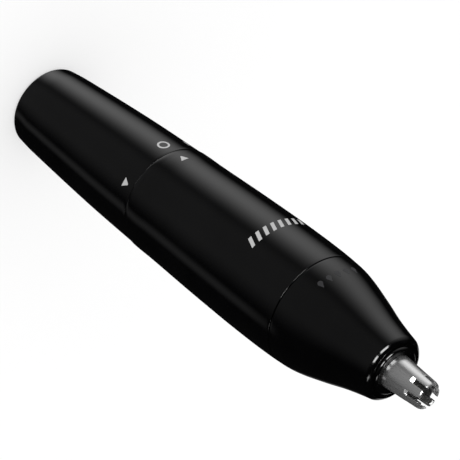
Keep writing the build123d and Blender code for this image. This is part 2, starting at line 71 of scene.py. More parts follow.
BASE_TOP = high("base_cover")
BASE_TOP_R = radius("base_cover")
BASE_FLOOR = low("negative_contact")
SPIGOT_BOTTOM = low("main_housing")
HANDLE_FLOOR = 45.9
HANDLE_TOP = high("main_housing")
HANDLE_MAX_R = radius("main_housing")
FRAME_SEAT = low("front_frame")
HEAD_FOOT = low("head_shell")
HEAD_FOOT_R = radius("head_shell")
HEAD_FACE = high("head_shell")
NOSE_FACE = high("guard_holder")
NOSE_BACK = low("guard_holder")
NOSE_FLANGE_R = radius("guard_holder")
GUARD_BACK = low("guard_tube")
GUARD_FLANGE_R = radius("guard_tube")
TIP = high("guard_tube")

# ---- the rest of the form: (radius, height) pairs follow the CAD ------------------------------
SEAM_EDGE = 0.12           # rounding of the edges on both sides of the head's seam
CHAMFER = 0.2              # the small bevels inside the base
SUNK = 0.4                 # how far a key runs into the wall under it
BASE_GAP, BASE_EDGE = 0.05, 0.02
TAIL_R, TAIL_ROUND = 9.72, 1.0
TAIL_TOP = (10.2, 5.5)
BASE_MID = (11.55, 27.0)
BASE_BORE_R = 8.25
SOCKET_R, SOCKET_Z = 9.95, 30.4
KEY_IN, KEY_OUT, KEY_W, KEY_TOP = 9.3, 10.2, 2.0, 33.5
HANDLE_BOTTOM = BASE_TOP + BASE_GAP
FLARE_STEP, FLARE = (12.38, 45.8), (12.45, 50.5)
HANDLE_MID, HANDLE_MAX_Z = (12.93, 66.0), 81.0
HANDLE_TOP_R = 12.9
HANDLE_BORE, HANDLE_WIDE_BORE, FRAME_SEAT_R = (11.0, 53.4), (11.4, 57.4), 11.7
SPIGOT_R, SPIGOT_BORE_R, SPIGOT_CHAMFER = 9.75, 8.45, 0.15
SEAL_FLOOR_R, SEAL_BOTTOM, SEAL_TOP = 8.95, 39.5, 40.7
HEAD_SHOULDER, HEAD_CONE, HEAD_WAIST = (12.3, 97.3), (10.47, 104.1), (8.83, 109.4)
RIM_R, RIM_Z, RIM_ROUND = 7.45, 115.3, 2.6   # a nearly conical band round the front
RIM_TURN = (28, 46)                           # which way it faces at its two edges, degrees over level
FACE_EDGE, FACE_DROP, FACE_CHAMFER = 0.05, 0.32, 0.05
FACE_BORE_R, FLANGE_BORE_R = 6.45, 7.05
FLANGE_STEP, FLANGE_MOUTH = 112.2, 109.7
SEAL_BORE, SKIRT_BORE = (10.6, 100.6), (11.55, 96.8)
RIB_IN, RIB_OUT, RIB_W, RIB_TOP, RIB_INSET = 11.1, 11.8, 1.6, 95.5, 0.2
NOSE_R, NOSE_STEP = 6.35, 112.1
LEDGE = ((6.35, 115.95), (5.6, 116.05))
RIDGE_R, RIDGE_Z, RIDGE_ROUND = 5.55, 116.3, 1.1
RIDGE_TURN = (24, 60)
NOSE_CROWN = ((4.85, 0.0), (4.4, 0.08))       # radii of the nose's face, and how far below its top they lie
NOSE_BORE_PLAY, NOSE_LIP, NOSE_LIP_DROP, NOSE_BORE_DROP = 0.1, 0.02, 0.12, 0.3
RECESS_R, RECESS_TOP = 5.0, 112.6
GUARD_ROOT_R, GUARD_END_R, GUARD_END, TIP_R, TIP_BORE_R = 3.8, 3.25, 125.0, 2.5, 2.3
GUARD_WALL, GUARD_FLANGE_T, GUARD_EDGE, GUARD_TIP_T = 0.5, 1.0, 0.045, 0.45
GUARD_FLANGE_PLAY = 0.05
GUARD_LOW_ROW, GUARD_ROWS, TOOTH_ROWS = 115.0, (118.5, 120.0, 121.5), (123.2, 124.2)
TOOTH_COLUMNS, CROWN_STEPS, CROWN_TURN = 6, 6, 85
SLOT_W, SLOT_BOTTOM, SLOT_SLOPE = 1.05, 122.5, 0.65
SLOT_COUNT, SLOT_FIRST = 7, -59.0

# ---- printed marks ------------------------------------------------------------------------
FRONT = -90.0              # the marks' meridian, in degrees about +Z
OPEN_TURN, ON_TURN = 58.5, -33.0
OFF_Z, OPEN_Z, INDEX_Z, BARS_Z, DROPS_Z = 40.8, 41.5, 47.4, 78.2, 97.2
OFF_SIZE, OFF_STROKE = 2.8, 0.45
OPEN_W, INDEX_W, POINTER_H, POINTER_BLUNT = 2.1, 1.9, 1.5, 0.12
ON_HALF_W, ON_HALF_H = 0.25, 1.0
BAR_COUNT, BAR_PITCH, BAR_HALF_W, BAR_HALF_H, BAR_LEAN = 8, 2.0, 0.45, 1.2, 0.5
DROP_COUNT, DROP_PITCH, DROP_SIZE = 5, 2.3, 1.5
DROP_WIDE, DROP_WAIST, DROP_POINT, DROP_SINK = 0.42, 0.35, 0.33, 0.1
INK_UP, INK_DOWN = 0.025, 0.06

# ---- camera and light -------------------------------------------------------------------------
VIEW_AZIMUTH, VIEW_ELEVATION, VIEW_ROLL = 45.0, 37.0, 37.1
LENS = 203.5
DISTANCE = 0.5505
AIM_HEIGHT, AIM_RIGHT, AIM_UP = 0.0622, 0.00165, 0.0020

SENSOR = 36.0
DOME_LIGHT, DOME_R = 1.05, 3.5
FLOOR_GLOW, FLOOR_HALF, FLOOR_ROUGH = 0.55, 4.0, 0.9

# Softboxes seen in the gloss: azimuths about +Z, elevations and softness in degrees, and brightness.
Softbox = namedtuple("Softbox", "left right bottom top soft glow")
SOFTBOXES = (
    Softbox(left=-155, right=-110, bottom=-90, top=20, soft=45, glow=1.1),     # key
    Softbox(left=-90, right=0, bottom=-90, top=20, soft=45, glow=0.15),        # weak fill over the front
    Softbox(left=25, right=40, bottom=-90, top=-30, soft=15, glow=0.15),       # thin strip
    Softbox(left=115, right=150, bottom=-25, top=10, soft=15, glow=0.8),       # rim light behind
    Softbox(left=-100, right=-65, bottom=35, top=50, soft=5, glow=16),         # three small lamps above
    Softbox(left=-50, right=-25, bottom=35, top=50, soft=5, glow=16),
    Softbox(left=30, right=45, bottom=35, top=50, soft=5, glow=5),
)
STUDIO_DARK = 0.005


# ---- outlines -----------------------------------------------------------------------------
def curve(points, start, end, steps=10):
    """Points on a smooth curve through (radius, height) points, with end slopes dr/dz."""
    slopes = [start]
    for before, after in zip(points, points[2:]):
        slopes.append((after[0] - before[0]) / (after[1] - before[1]))
    slopes.append(end)
    out = []
    for (r0, z0), (r1, z1), m0, m1 in zip(points, points[1:], slopes, slopes[1:]):
        span = z1 - z0
        for i in range(steps):
            t = i / steps
            r = (
                (2 * t ** 3 - 3 * t ** 2 + 1) * r0 + (t ** 3 - 2 * t ** 2 + t) * span * m0
                + (3 * t ** 2 - 2 * t ** 3) * r1 + (t ** 3 - t ** 2) * span * m1
            )
            out.append((r, z0 + t * span))
    return out + [points[-1]]


def corner(r, z, size, start_deg, end_deg, steps=6):
    """A rounded corner: an arc about (r, z), from one angle to another, 0 facing outward."""
    angles = [math.radians(start_deg + (end_deg - start_deg) * i / steps) for i in range(steps + 1)]
    return [(r + size * math.cos(a), z + size * math.sin(a)) for a in angles]


def band(r, z, size, start_deg, end_deg, steps):
    """A rounded corner that starts at the point (r, z)."""
    start = math.radians(start_deg)
    return corner(r - size * math.cos(start), z - size * math.sin(start), size, start_deg, end_deg, steps)


def wall_r(points_of):
    """A function of height that reads the radius off an outline."""
    def at(z):
        for (r0, z0), (r1, z1) in zip(points_of, points_of[1:]):
            if z0 <= z <= z1:
                return r0 + (r1 - r0) * (z - z0) / max(z1 - z0, 1e-9)
        return points_of[-1][0]
    return at


# ---- mesh helpers -------------------------------------------------------------------------
def make_object(name, bm, sharp=30.0):
    """A mesh object with smooth shading and sharp edges above an angle."""
    bmesh.ops.recalc_face_normals(bm, faces=bm.faces)
    mesh = bpy.data.meshes.new(name)
    bm.to_mesh(mesh)
    bm.free()
    for polygon in mesh.polygons:
        polygon.use_smooth = True
    mesh.set_sharp_from_angle(angle=math.radians(sharp))
    piece = bpy.data.objects.new(name, mesh)
    bpy.context.scene.collection.objects.link(piece)
    return piece


def lathe(bm, outline, segments=192):
    """A closed solid of revolution; points on the axis become a single vertex."""
    rings = []
    for r, z in outline:
        if r < 1e-6:
            rings.append([bm.verts.new((0, 0, z * MM))])
            continue
        ring = []
        for i in range(segments):
            a = 2 * math.pi * i / segments
            ring.append(bm.verts.new((r * MM * math.cos(a), r * MM * math.sin(a), z * MM)))
        rings.append(ring)
    for lower, upper in zip(rings, rings[1:] + rings[:1]):
        if len(lower) == 1 and len(upper) == 1:
            continue
        for i in range(segments):
            j = (i + 1) % segments
            if len(lower) == 1:
                bm.faces.new((lower[0], upper[i], upper[j]))
            elif len(upper) == 1:
                bm.faces.new((lower[i], lower[j], upper[0]))
            else:
                bm.faces.new((lower[i], lower[j], upper[j], upper[i]))


def rib(bm, r0, r1, width, z0, z1, angle, edge=0.15):
    """A radial block with bevelled edges, turned about Z."""
    made = bmesh.ops.create_cube(bm, size=1.0)
    size = Matrix.Diagonal(((r1 - r0) * MM, width * MM, (z1 - z0) * MM, 1))
    place = Matrix.Translation(((r0 + r1) / 2 * MM, 0, (z0 + z1) / 2 * MM))
    turn = Matrix.Rotation(math.radians(angle), 4, "Z")
    bmesh.ops.transform(bm, matrix=turn @ place @ size, verts=made["verts"])
    edges = {e for v in made["verts"] for e in v.link_edges}
    bmesh.ops.bevel(bm, geom=list(edges), offset=edge * MM, segments=2, affect="EDGES", profile=0.5)


# ---- shells -------------------------------------------------------------------------------
TAIL_OUTLINE = corner(TAIL_R - TAIL_ROUND, TAIL_ROUND, TAIL_ROUND, -90, 0, 10)
BASE_OUTLINE = TAIL_OUTLINE[:-1] + curve(
    [(TAIL_R, TAIL_ROUND), TAIL_TOP, BASE_MID, (BASE_TOP_R, BASE_TOP - BASE_EDGE)],
    start=0.12, end=0.035, steps=24)
HANDLE_OUTLINE = curve(
    [(BASE_TOP_R, HANDLE_BOTTOM + BASE_EDGE), FLARE_STEP, FLARE, HANDLE_MID, (HANDLE_MAX_R, HANDLE_MAX_Z),
     (HANDLE_TOP_R, HANDLE_TOP - SEAM_EDGE)],
    start=0.3, end=-0.06, steps=14)
HEAD_OUTLINE = curve(
    [(HEAD_FOOT_R, HEAD_FOOT + SEAM_EDGE), HEAD_SHOULDER, HEAD_CONE, HEAD_WAIST, (RIM_R, RIM_Z)],
    start=-0.05, end=-0.2, steps=14)


def finished(name, bm, body, node_name):
    """Turns a mesh into the piece that stands for a CAD node."""
    piece = make_object(name, bm)
    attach(piece, body)
    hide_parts(node_name)
    return piece


def build_base():
    """The twist base: closed tail, tapered wall, and the socket with its two keys."""
    bm = bmesh.new()
    mouth = corner(BASE_TOP_R - BASE_EDGE, BASE_TOP - BASE_EDGE, BASE_EDGE, 0, 90, 4)
    inside = [
        (SOCKET_R + SEAM_EDGE, BASE_TOP), (SOCKET_R, BASE_TOP - SEAM_EDGE), (SOCKET_R, SOCKET_Z),
        (BASE_BORE_R, SOCKET_Z), (BASE_BORE_R, BASE_FLOOR + CHAMFER), (BASE_BORE_R - CHAMFER, BASE_FLOOR),
        (0.0, BASE_FLOOR),
    ]
    lathe(bm, [(0.0, 0.0)] + BASE_OUTLINE[:-1] + mouth + inside)
    for angle in (0, 180):
        rib(bm, KEY_IN, KEY_OUT, KEY_W, SOCKET_Z - SUNK, KEY_TOP, angle)
    return finished("base_shell", bm, "base", "base_cover")


def build_handle():
    """The handle shell, with the spigot that plugs into the base and its seal groove."""
    bm = bmesh.new()
    top = corner(HANDLE_TOP_R - SEAM_EDGE, HANDLE_TOP - SEAM_EDGE, SEAM_EDGE, 0, 90, 4)
    inside = [
        (FRAME_SEAT_R, HANDLE_TOP), (FRAME_SEAT_R, FRAME_SEAT), (HANDLE_WIDE_BORE[0], FRAME_SEAT),
        HANDLE_WIDE_BORE, HANDLE_BORE, (HANDLE_BORE[0], HANDLE_FLOOR), (SPIGOT_BORE_R, HANDLE_FLOOR),
        (SPIGOT_BORE_R, SPIGOT_BOTTOM),
    ]
    spigot = [
        (SPIGOT_R - SPIGOT_CHAMFER, SPIGOT_BOTTOM), (SPIGOT_R, SPIGOT_BOTTOM + SPIGOT_CHAMFER),
        (SPIGOT_R, SEAL_BOTTOM), (SEAL_FLOOR_R, SEAL_BOTTOM), (SEAL_FLOOR_R, SEAL_TOP), (SPIGOT_R, SEAL_TOP),
        (SPIGOT_R, HANDLE_BOTTOM), (BASE_TOP_R - BASE_EDGE, HANDLE_BOTTOM),
    ]
    lathe(bm, HANDLE_OUTLINE[:-1] + top + inside + spigot)
    return finished("handle_shell", bm, "handle", "main_housing")


def build_head():
    """The tapered head, its rim round the nose, and the ribs that the lock ring drives."""
    bm = bmesh.new()
    rim = band(RIM_R, RIM_Z, RIM_ROUND, *RIM_TURN, 8)
    face_z = HEAD_FACE - FACE_DROP
    face = [(FACE_BORE_R + FACE_EDGE, face_z), (FACE_BORE_R, face_z - FACE_CHAMFER)]
    inside = [
        (FACE_BORE_R, FLANGE_STEP), (FLANGE_BORE_R, FLANGE_STEP), (FLANGE_BORE_R, FLANGE_MOUTH), SEAL_BORE,
        (SEAL_BORE[0], SKIRT_BORE[1]), SKIRT_BORE, (SKIRT_BORE[0], HEAD_FOOT),
    ]
    foot = corner(HEAD_FOOT_R - SEAM_EDGE, HEAD_FOOT + SEAM_EDGE, SEAM_EDGE, -90, 0, 4)
    lathe(bm, HEAD_OUTLINE[:-1] + rim + face + inside + foot[:-1])
    for angle in (0, 120, 240):
        rib(bm, RIB_IN, RIB_OUT, RIB_W, HEAD_FOOT + RIB_INSET, RIB_TOP, angle)
    return finished("head_cover", bm, "head", "head_shell")


def build_nose():
    """The disc that fills the head's front round the guard tube."""
    bm = bmesh.new()
    bore_r = GUARD_ROOT_R + NOSE_BORE_PLAY
    edge = list(LEDGE) + band(RIDGE_R, RIDGE_Z, RIDGE_ROUND, *RIDGE_TURN, 8)
    face = [(r, NOSE_FACE - drop) for r, drop in NOSE_CROWN]
    face.append((bore_r + NOSE_LIP, NOSE_FACE - NOSE_LIP_DROP))
    inside = [
        (bore_r, NOSE_FACE - NOSE_BORE_DROP), (bore_r, RECESS_TOP), (RECESS_R, RECESS_TOP),
        (RECESS_R, NOSE_BACK), (NOSE_FLANGE_R, NOSE_BACK), (NOSE_FLANGE_R, NOSE_STEP), (NOSE_R, NOSE_STEP),
    ]
    lathe(bm, edge + face + inside)
    return finished("nose_disc", bm, "head", "guard_holder")


# ---- guard tube: walls cut by slots --------------------------------------------------------
def slotted_tube(name, outer, inner, slots, half_width, per_tooth, edge):
    """A tube whose two walls are grids of vertices, open in the slots above the slots' bottom.

    outer and inner are lists of (radius, height, whether slots are open there) of equal length;
    slots is a list of angles in degrees; half_width(r) gives a slot's half angle in radians;
    per_tooth is the number of columns between two slots, and edge the width of the bevels.
    """
    cut = outer.index(next(p for p in outer if p[2]))
    bm = bmesh.new()
    columns = []
    for index, centre in enumerate(slots):
        following = slots[(index + 1) % len(slots)] + (360 if index + 1 == len(slots) else 0)
        columns.append((centre, following))

    def angles(r):
        out = []
        for centre, following in columns:
            half = math.degrees(half_width(r))
            out.append((centre - half, True))
            out.append((centre, True))
            start, end = centre + half, following - half
            for i in range(per_tooth):
                out.append((start + (end - start) * i / per_tooth, False))
        return out

    def grid(rows):
        made = []
        for r, z, open_row in rows:
            ring = []
            for degrees, in_slot in angles(r):
                a = math.radians(degrees)
                ring.append(bm.verts.new((r * MM * math.cos(a), r * MM * math.sin(a), z * MM)))
            made.append(ring)
        return made

    flags = [in_slot for degrees, in_slot in angles(outer[0][0])]
    count = len(flags)
    outside, inside = grid(outer), grid(inner)

    def is_open(row, column):
        return row >= cut and flags[column]

    for row in range(len(outer) - 1):
        for i in range(count):
            j = (i + 1) % count
            if is_open(row, i):
                continue
            bm.faces.new((outside[row][i], outside[row][j], outside[row + 1][j], outside[row + 1][i]))
            bm.faces.new((inside[row][i], inside[row + 1][i], inside[row + 1][j], inside[row][j]))
    last = len(outer) - 1
    for i in range(count):
        j = (i + 1) % count
        bm.faces.new((outside[0][i], inside[0][i], inside[0][j], outside[0][j]))
        if not flags[i]:
            bm.faces.new((outside[last][i], outside[last][j], inside[last][j], inside[last][i]))
        else:
            bm.faces.new((outside[cut][i], outside[cut][j], inside[cut][j], inside[cut][i]))
        if flags[i] != flags[i - 1]:
            for row in range(cut, last):
                bm.faces.new((outside[row][i], outside[row + 1][i], inside[row + 1][i], inside[row][i]))
    loose = [v for v in bm.verts if not v.link_faces]
    bmesh.ops.delete(bm, geom=loose, context="VERTS")
    piece = make_object(name, bm)
    bevel = piece.modifiers.new("edges", "BEVEL")
    bevel.width = edge * MM
    bevel.segments = 3
    bevel.limit_method = "ANGLE"
    bevel.angle_limit = math.radians(35)
    bevel.harden_normals = False
    return piece


def guard_r(z):
    """Outer radius of the guard's tapered wall."""
    taper = (GUARD_ROOT_R - GUARD_END_R) / (GUARD_END - NOSE_FACE)
    return GUARD_ROOT_R - max(0.0, z - NOSE_FACE) * taper


def build_guard():
    """The steel guard: tapered, rounded in at its open end, with slots between its teeth."""
    plain_rows = [GUARD_BACK + GUARD_FLANGE_T, GUARD_LOW_ROW, NOSE_FACE, *GUARD_ROWS]
    slot_rows = [SLOT_BOTTOM, *TOOTH_ROWS, GUARD_END]
    outer = [(guard_r(z), z, False) for z in plain_rows] + [(guard_r(z), z, True) for z in slot_rows]
    inner = [(guard_r(z) - GUARD_WALL, z, False) for z in plain_rows]
    for z in slot_rows:
        rise = SLOT_SLOPE * (GUARD_END - z) / (GUARD_END - SLOT_BOTTOM)
        inner.append((guard_r(z) - GUARD_WALL, z + rise, True))
    end_bore_r = GUARD_END_R - GUARD_WALL
    for i in range(1, CROWN_STEPS + 1):
        share = i / CROWN_STEPS
        a = math.radians(CROWN_TURN * share)
        crown_r = TIP_R + (GUARD_END_R - TIP_R) * math.cos(a)
        outer.append((crown_r, GUARD_END + (TIP - GUARD_END) * math.sin(a), True))
        bore_r = end_bore_r - (end_bore_r - TIP_BORE_R) * share ** 2
        inner.append((bore_r, GUARD_END + (TIP - GUARD_TIP_T - GUARD_END) * share, True))
    slots = sorted((SLOT_FIRST + i * 360 / SLOT_COUNT) for i in range(SLOT_COUNT))

    def half_width(r):
        return math.asin(SLOT_W / 2 / r)

    piece = slotted_tube("guard_blade", outer, inner, slots, half_width, TOOTH_COLUMNS, GUARD_EDGE)
    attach(piece, "head")
    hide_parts("guard_tube")
    return piece


def build_guard_flange():
    """The flange that seats the guard in the nose disc."""
    bm = bmesh.new()
    bore_r = GUARD_ROOT_R - GUARD_WALL + GUARD_FLANGE_PLAY
    top = GUARD_BACK + GUARD_FLANGE_T
    lathe(bm, [(bore_r, GUARD_BACK), (GUARD_FLANGE_R, GUARD_BACK), (GUARD_FLANGE_R, top), (bore_r, top)])
    piece = make_object("guard_flange", bm)
    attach(piece, "head")
    return piece


# ---- printed films ------------------------------------------------------------------------
def ink(bm, grid, surface, meridian, height, closed=False):
    """A thin printed film: a grid of (across, along) points laid on a surface of revolution."""
    def lay(point, lift):
        across, along = point
        z = height + along
        r = surface(z)
        a = math.radians(meridian) + across / r
        return bm.verts.new(((r + lift) * MM * math.cos(a), (r + lift) * MM * math.sin(a), z * MM))

    upper = [[lay(p, INK_UP) for p in row] for row in grid]
    lower = [[lay(p, -INK_DOWN) for p in row] for row in grid]
    rows, count = len(grid), len(grid[0])
    around = count if closed else count - 1
    for i in range(rows - 1):
        for j in range(around):
            k = (j + 1) % count
            bm.faces.new((upper[i][j], upper[i][k], upper[i + 1][k], upper[i + 1][j]))
            bm.faces.new((lower[i][j], lower[i + 1][j], lower[i + 1][k], lower[i][k]))
    for i in (0, rows - 1):
        for j in range(around):
            k = (j + 1) % count
            bm.faces.new((upper[i][j], lower[i][j], lower[i][k], upper[i][k]))
    if not closed:
        for j in (0, count - 1):
            for i in range(rows - 1):
                bm.faces.new((upper[i][j], upper[i + 1][j], lower[i + 1][j], lower[i][j]))


def ring_grid(size, stroke, steps=48):
    """An annulus, from its outer circle to its inner one."""
    angles = [2 * math.pi * i / steps for i in range(steps)]
    radii = [size / 2 - stroke * i / 2 for i in range(3)]
    return [[(r * math.cos(a), r * math.sin(a)) for a in angles] for r in radii]


def quad_grid(p00, p10, p11, p01, nx=6, ny=6):
    """A grid between four corners."""
    rows = []
    for j in range(ny + 1):
        v = j / ny
        row = []
        for i in range(nx + 1):
            u = i / nx
            shares = ((1 - u) * (1 - v), u * (1 - v), u * v, (1 - u) * v)
            x, y = (sum(w * p[k] for w, p in zip(shares, (p00, p10, p11, p01))) for k in (0, 1))
            row.append((x, y))
        rows.append(row)
    return rows


def triangle_grid(width, height, direction):
    """A triangle with softened tip, pointing up (+1) or down (-1) along the axis."""
    foot, tip = -direction * height / 2, direction * height / 2
    return quad_grid((-width / 2, foot), (width / 2, foot), (POINTER_BLUNT, tip), (-POINTER_BLUNT, tip))


def drop_grid(size, steps=24):
    """A water drop: a disc drawn out to a point."""
    rows = []
    for ring in range(4):
        scale = size * (1 - ring / 3.2)
        row = []
        for i in range(steps):
            a = 2 * math.pi * i / steps
            upper = max(0.0, math.sin(a))
            across = DROP_WIDE * math.cos(a) * (1 - DROP_WAIST * upper)
            along = DROP_WIDE * math.sin(a) + DROP_POINT * upper ** 6 - DROP_SINK
            row.append((scale * across, scale * along))
        rows.append(row)
    return rows


def printed(name, body, bm, material):
    """Turns a film mesh into a printed piece."""
    piece = make_object(name, bm, 60)
    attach(piece, body)
    piece.data.materials.append(material)


def build_switch_marks(material):
    """Off ring, open triangle and on bar on the base, and the pointer on the handle."""
    base_at, handle_at = wall_r(BASE_OUTLINE), wall_r(HANDLE_OUTLINE)
    off_ring = ring_grid(OFF_SIZE, OFF_STROKE)
    on_bar = quad_grid(
        (-ON_HALF_W, -ON_HALF_H), (ON_HALF_W, -ON_HALF_H), (ON_HALF_W, ON_HALF_H), (-ON_HALF_W, ON_HALF_H))
    open_pointer = triangle_grid(OPEN_W, POINTER_H, 1)
    index_pointer = triangle_grid(INDEX_W, POINTER_H, -1)
    marks = (
        ("mark_off", "base", off_ring, base_at, FRONT, OFF_Z, True),
        ("mark_open", "base", open_pointer, base_at, FRONT + OPEN_TURN, OPEN_Z, False),
        ("mark_on", "base", on_bar, base_at, FRONT + ON_TURN, OFF_Z, False),
        ("mark_index", "handle", index_pointer, handle_at, FRONT, INDEX_Z, False),
    )
    for name, body, grid, surface, meridian, height, closed in marks:
        bm = bmesh.new()
        ink(bm, grid, surface, meridian, height, closed)
        printed(name, body, bm, material)


def build_bars(material):
    """A plain row of leaning bars round the handle's front."""
    bm = bmesh.new()
    surface = wall_r(HANDLE_OUTLINE)
    for i in range(BAR_COUNT):
        x = (i - (BAR_COUNT - 1) / 2) * BAR_PITCH
        left, right = x - BAR_HALF_W, x + BAR_HALF_W
        grid = quad_grid(
            (left - BAR_LEAN, -BAR_HALF_H), (right - BAR_LEAN, -BAR_HALF_H),
            (right + BAR_LEAN, BAR_HALF_H), (left + BAR_LEAN, BAR_HALF_H),
        )
        ink(bm, grid, surface, FRONT, BARS_Z)
    printed("print_bars", "handle", bm, material)


def build_drops(material):
    """A faint row of water drops on the head: it may be rinsed."""
    bm = bmesh.new()
    surface = wall_r(HEAD_OUTLINE)
    for i in range(DROP_COUNT):
        shift = (i - (DROP_COUNT - 1) / 2) * DROP_PITCH
        grid = [[(x + shift, y) for x, y in row] for row in drop_grid(DROP_SIZE)]
        ink(bm, grid, surface, FRONT, DROPS_Z, True)
    bmesh.ops.holes_fill(bm, edges=[e for e in bm.edges if e.is_boundary])
    printed("print_drops", "head", bm, material)


# ---- materials ----------------------------------------------------------------------------
def node(tree, kind, **values):
    """A shader node with its named sockets or properties set."""
    made = tree.nodes.new(kind)
    for key, value in values.items():
        if key in made.inputs:
            made.inputs[key].default_value = value
        else:
            setattr(made, key, value)
    return made


def new_material(name, metallic=0.0, ior=1.5):
    """A material with a Principled shader, ready for its procedural inputs."""
    material = bpy.data.materials.new(name)
    material.use_nodes = True
    shader = material.node_tree.nodes["Principled BSDF"]
    shader.inputs["Metallic"].default_value = metallic
    shader.inputs["IOR"].default_value = ior
    return material, material.node_tree, shader


def noise(tree, scale, detail=4.0, stretch=(1, 1, 1)):
    """Noise in object space, in features per metre, with its own stretch."""
    coords = node(tree, "ShaderNodeTexCoord")
    mapping = node(tree, "ShaderNodeMapping")
    mapping.inputs["Scale"].default_value = stretch
    texture = node(tree, "ShaderNodeTexNoise", Scale=scale, Detail=detail)
    tree.links.new(coords.outputs["Object"], mapping.inputs["Vector"])
    tree.links.new(mapping.outputs["Vector"], texture.inputs["Vector"])
    return texture.outputs["Fac"]


def spread(tree, source, low_value, high_value, start=0.3, end=0.7):
    """Maps a noise to a range of values."""
    ramp = node(tree, "ShaderNodeMapRange")
    ramp.inputs["From Min"].default_value = start
    ramp.inputs["From Max"].default_value = end
    ramp.inputs["To Min"].default_value = low_value
    ramp.inputs["To Max"].default_value = high_value
    tree.links.new(source, ramp.inputs["Value"])
    return ramp.outputs["Result"]


def tint(tree, source, dark, light):
    """Mixes two colours by a noise."""
    ramp = node(tree, "ShaderNodeValToRGB")
    ramp.color_ramp.elements[0].position = 0.3
    ramp.color_ramp.elements[1].position = 0.7
    ramp.color_ramp.elements[0].color = (*dark, 1)
    ramp.color_ramp.elements[1].color = (*light, 1)
    tree.links.new(source, ramp.inputs["Fac"])
    return ramp.outputs["Color"]


def bump(tree, shader, source, distance, strength=1.0):
    """Connects a height to the shader's normal."""
    made = node(tree, "ShaderNodeBump", Strength=strength, Distance=distance)
    tree.links.new(source, made.inputs["Height"])
    tree.links.new(made.outputs["Normal"], shader.inputs["Normal"])


def plastic(name, dark, light, rough, spread_rough, grain, depth, specular=0.5):
    """Moulded plastic: slight mottling, uneven gloss and a fine skin."""
    material, tree, shader = new_material(name)
    shader.inputs["Specular IOR Level"].default_value = specular
    tree.links.new(tint(tree, noise(tree, MOTTLE), dark, light), shader.inputs["Base Color"])
    gloss = spread(tree, noise(tree, GLOSS_PATCH, 6), rough, rough + spread_rough)
    tree.links.new(gloss, shader.inputs["Roughness"])
    bump(tree, shader, noise(tree, grain, 3), depth)
    return material


def metal(name, dark, light, rough, spread_rough, stretch, depth, metallic=1.0):
    """Metal with fine drawn lines along one direction."""
    material, tree, shader = new_material(name, metallic=metallic)
    lines = noise(tree, DRAWN_LINE, 5, stretch)
    tree.links.new(tint(tree, lines, dark, light), shader.inputs["Base Color"])
    tree.links.new(spread(tree, lines, rough, rough + spread_rough), shader.inputs["Roughness"])
    bump(tree, shader, lines, depth)
    return material


MOTTLE, GLOSS_PATCH, DRAWN_LINE = 90, 160, 900     # features per metre
JET = (0.0004, 0.0004, 0.0005), (0.001, 0.001, 0.0011)
# Each: dark and light colour, roughness and its spread, grain in features per metre, its depth, specular.
PLASTICS = {
    "body_black": (*JET, 0.08, 0.05, 700, 1.5e-7),
    "nose_black": (*JET, 0.1, 0.05, 900, 1.5e-7),
    "inner_plastic": ((0.018, 0.018, 0.02), (0.028, 0.028, 0.03), 0.38, 0.15, 2600, 8e-6),
    "clear_liner": ((0.5, 0.5, 0.47), (0.6, 0.6, 0.57), 0.3, 0.12, 1200, 4e-6),
    "coupler_plastic": ((0.66, 0.65, 0.6), (0.76, 0.75, 0.71), 0.34, 0.12, 1800, 6e-6),
    "seal_rubber": ((0.016, 0.016, 0.016), (0.03, 0.03, 0.03), 0.55, 0.2, 3000, 8e-6),
    "cell_label": ((0.02, 0.09, 0.06), (0.03, 0.12, 0.08), 0.22, 0.08, 1000, 2e-6),
    "magnet_iron": ((0.03, 0.03, 0.033), (0.07, 0.07, 0.075), 0.5, 0.2, 2200, 1e-5),
    "ink_white": ((0.42, 0.42, 0.42), (0.5, 0.5, 0.5), 0.42, 0.12, 3500, 1.5e-6, 0.15),
    "ink_grey": ((0.026, 0.026, 0.028), (0.04, 0.04, 0.042), 0.4, 0.12, 3500, 1.5e-6, 0.15),
}
# Each: dark and light colour, roughness and its spread, stretch of the lines, their depth, metallic.
METALS = {
    "guard_steel": ((0.6, 0.6, 0.6), (0.72, 0.72, 0.72), 0.2, 0.06, (1, 1, 0.06), 4e-7, 0.92),
    "blade_steel": ((0.3, 0.3, 0.31), (0.5, 0.5, 0.5), 0.22, 0.16, (1, 1, 0.3), 2e-6),
    "spring_steel": ((0.5, 0.5, 0.5), (0.66, 0.66, 0.66), 0.14, 0.12, (1, 1, 1), 1e-6),
    "contact_brass": ((0.6, 0.43, 0.18), (0.75, 0.58, 0.28), 0.24, 0.14, (0.2, 1, 1), 2e-6),
    "bush_brass": ((0.55, 0.38, 0.16), (0.7, 0.52, 0.25), 0.28, 0.14, (1, 1, 1), 3e-6),
    "cell_steel": ((0.5, 0.5, 0.5), (0.64, 0.64, 0.64), 0.22, 0.1, (1, 1, 0.08), 1.5e-6),
    "motor_steel": ((0.42, 0.42, 0.42), (0.58, 0.58, 0.58), 0.3, 0.14, (1, 1, 0.1), 2e-6),
    "screw_steel": ((0.4, 0.4, 0.42), (0.6, 0.6, 0.6), 0.24, 0.14, (1, 1, 1), 2e-6),
}


def make_materials():
    """One material for each of the record's slots, and two inks."""
    made = {name: plastic(name, *look) for name, look in PLASTICS.items()}
    made.update({name: metal(name, *look) for name, look in METALS.items()})
    return made


def dress(materials):
    """Gives every CAD node the material of its slot."""
    for entry in frame["record"]["subparts"]:
        shown = frame["nodes"][entry["node"]]
        for index in range(len(shown.material_slots)):
            shown.material_slots[index].material = materials[entry["material_slot"]]


